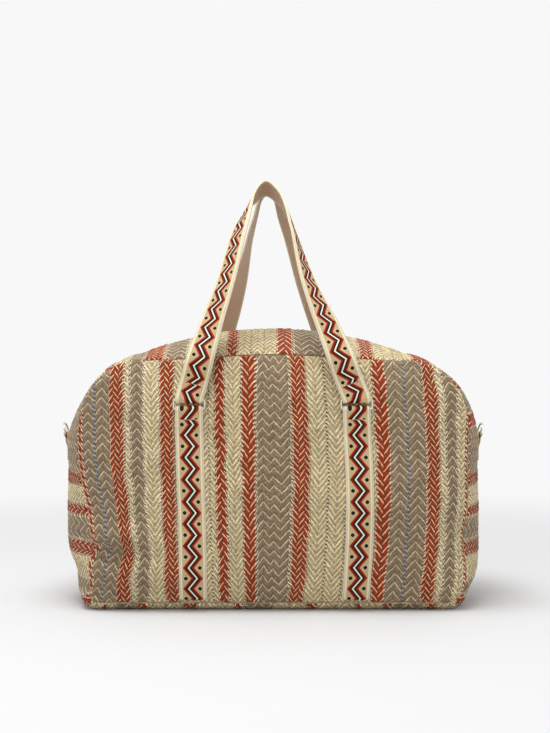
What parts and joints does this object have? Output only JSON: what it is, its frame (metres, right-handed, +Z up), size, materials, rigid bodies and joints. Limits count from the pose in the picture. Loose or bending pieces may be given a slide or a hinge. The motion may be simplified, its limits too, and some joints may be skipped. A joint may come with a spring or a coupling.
{
  "type": "weekender bag",
  "caption": "Soft arched travel bag of striped woven fabric with a zipped top gusset, strap handles on metal rings and side D-rings.",
  "frame": {"origin": "centre of the bag's whole box, on the plane that it stands on", "axes": "+Z up, front faces -Y, width along X"},
  "size_m": [0.5508, 0.2506, 0.5403],
  "materials": {
    "panel_fabric": "striped chevron weave, matte",
    "gusset_fabric": "striped chevron weave, matte",
    "lining_fabric": "plain cotton, matte",
    "board": "matte sheet",
    "zip_tape": "plain woven tape",
    "zip_metal": "polished",
    "ring_metal": "pale polished plating",
    "strap_backing": "smooth tan, satin",
    "strap_trim": "patterned jacquard ribbon"
  },
  "bodies": {
    "shell": {"anchor_back_left_backing": "strap_backing", "anchor_back_left_trim": "strap_trim", "anchor_back_right_backing": "strap_backing", "anchor_back_right_trim": "strap_trim", "anchor_front_left_backing": "strap_backing", "anchor_front_left_trim": "strap_trim", "anchor_front_right_backing": "strap_backing", "anchor_front_right_trim": "strap_trim", "back_panel": "panel_fabric", "base_board": "board", "base_panel": "gusset_fabric", "d_ring_tab_left": "strap_trim", "d_ring_tab_right": "strap_trim", "front_panel": "panel_fabric", "lining_back": "lining_fabric", "lining_base": "lining_fabric", "lining_front": "lining_fabric", "lining_side_left": "lining_fabric", "lining_side_right": "lining_fabric", "lining_top_back": "lining_fabric", "lining_top_front": "lining_fabric", "side_gusset_left": "gusset_fabric", "side_gusset_right": "gusset_fabric", "slip_pocket": "lining_fabric", "zip_end_tab_left": "strap_backing", "zip_end_tab_right": "strap_backing", "zip_gusset_back": "gusset_fabric", "zip_gusset_front": "gusset_fabric", "zip_tape_back": "zip_tape", "zip_tape_front": "zip_tape", "zip_teeth_back": "zip_metal", "zip_teeth_front": "zip_metal"},
    "front_left_ring": {"ring_front_left": "ring_metal"},
    "front_right_ring": {"ring_front_right": "ring_metal"},
    "front_handle": {"handle_front_backing": "strap_backing", "handle_front_trim": "strap_trim"},
    "back_left_ring": {"ring_back_left": "ring_metal"},
    "back_right_ring": {"ring_back_right": "ring_metal"},
    "back_handle": {"handle_back_backing": "strap_backing", "handle_back_trim": "strap_trim"},
    "left_slider": {"zip_slider_left": "zip_metal"},
    "left_pull": {"zip_pull_left": "zip_metal"},
    "left_d_ring": {"d_ring_left": "ring_metal"},
    "right_slider": {"zip_slider_right": "zip_metal"},
    "right_pull": {"zip_pull_right": "zip_metal"},
    "right_d_ring": {"d_ring_right": "ring_metal"}
  },
  "joints": [
    {"name": "front_left_ring_swing", "type": "hinge", "parent": "shell", "child": "front_left_ring", "pos_m": [-0.102, -0.1168, 0.25], "axis": [1, 0, 0], "range_deg": [0, 45]},
    {"name": "front_right_ring_swing", "type": "hinge", "parent": "shell", "child": "front_right_ring", "pos_m": [0.102, -0.1168, 0.25], "axis": [1, 0, 0], "range_deg": [0, 45]},
    {"name": "front_handle_swing", "type": "hinge", "parent": "front_left_ring", "child": "front_handle", "pos_m": [-0.102, -0.1168, 0.2616], "axis": [1, 0, 0], "range_deg": [0, 75]},
    {"name": "back_left_ring_swing", "type": "hinge", "parent": "shell", "child": "back_left_ring", "pos_m": [-0.102, 0.1168, 0.25], "axis": [-1, 0, 0], "range_deg": [0, 45]},
    {"name": "back_right_ring_swing", "type": "hinge", "parent": "shell", "child": "back_right_ring", "pos_m": [0.102, 0.1168, 0.25], "axis": [-1, 0, 0], "range_deg": [0, 45]},
    {"name": "back_handle_swing", "type": "hinge", "parent": "back_left_ring", "child": "back_handle", "pos_m": [-0.102, 0.1168, 0.2616], "axis": [-1, 0, 0], "range_deg": [0, 75]},
    {"name": "left_slider_travel", "type": "hinge", "parent": "shell", "child": "left_slider", "pos_m": [0, 0, -0.108], "axis": [0, -1, 0], "range_deg": [0, 17.9]},
    {"name": "left_pull_lift", "type": "hinge", "parent": "left_slider", "child": "left_pull", "pos_m": [-0.00638, 0, 0.34896], "axis": [0, 1, 0], "range_deg": [0, 100]},
    {"name": "left_d_ring_swing", "type": "hinge", "parent": "shell", "child": "left_d_ring", "pos_m": [-0.26995, 0, 0.214], "axis": [0, -1, 0], "range_deg": [0, 125]},
    {"name": "right_slider_travel", "type": "hinge", "parent": "shell", "child": "right_slider", "pos_m": [0, 0, -0.108], "axis": [0, 1, 0], "range_deg": [0, 17.9]},
    {"name": "right_pull_lift", "type": "hinge", "parent": "right_slider", "child": "right_pull", "pos_m": [0.00638, 0, 0.34896], "axis": [0, -1, 0], "range_deg": [0, 100]},
    {"name": "right_d_ring_swing", "type": "hinge", "parent": "shell", "child": "right_d_ring", "pos_m": [0.26995, 0, 0.214], "axis": [0, 1, 0], "range_deg": [0, 125]}
  ],
  "couplings": [
    {"joint": "front_right_ring_swing", "follows": "front_left_ring_swing", "ratio": 1},
    {"joint": "back_right_ring_swing", "follows": "back_left_ring_swing", "ratio": 1}
  ]
}
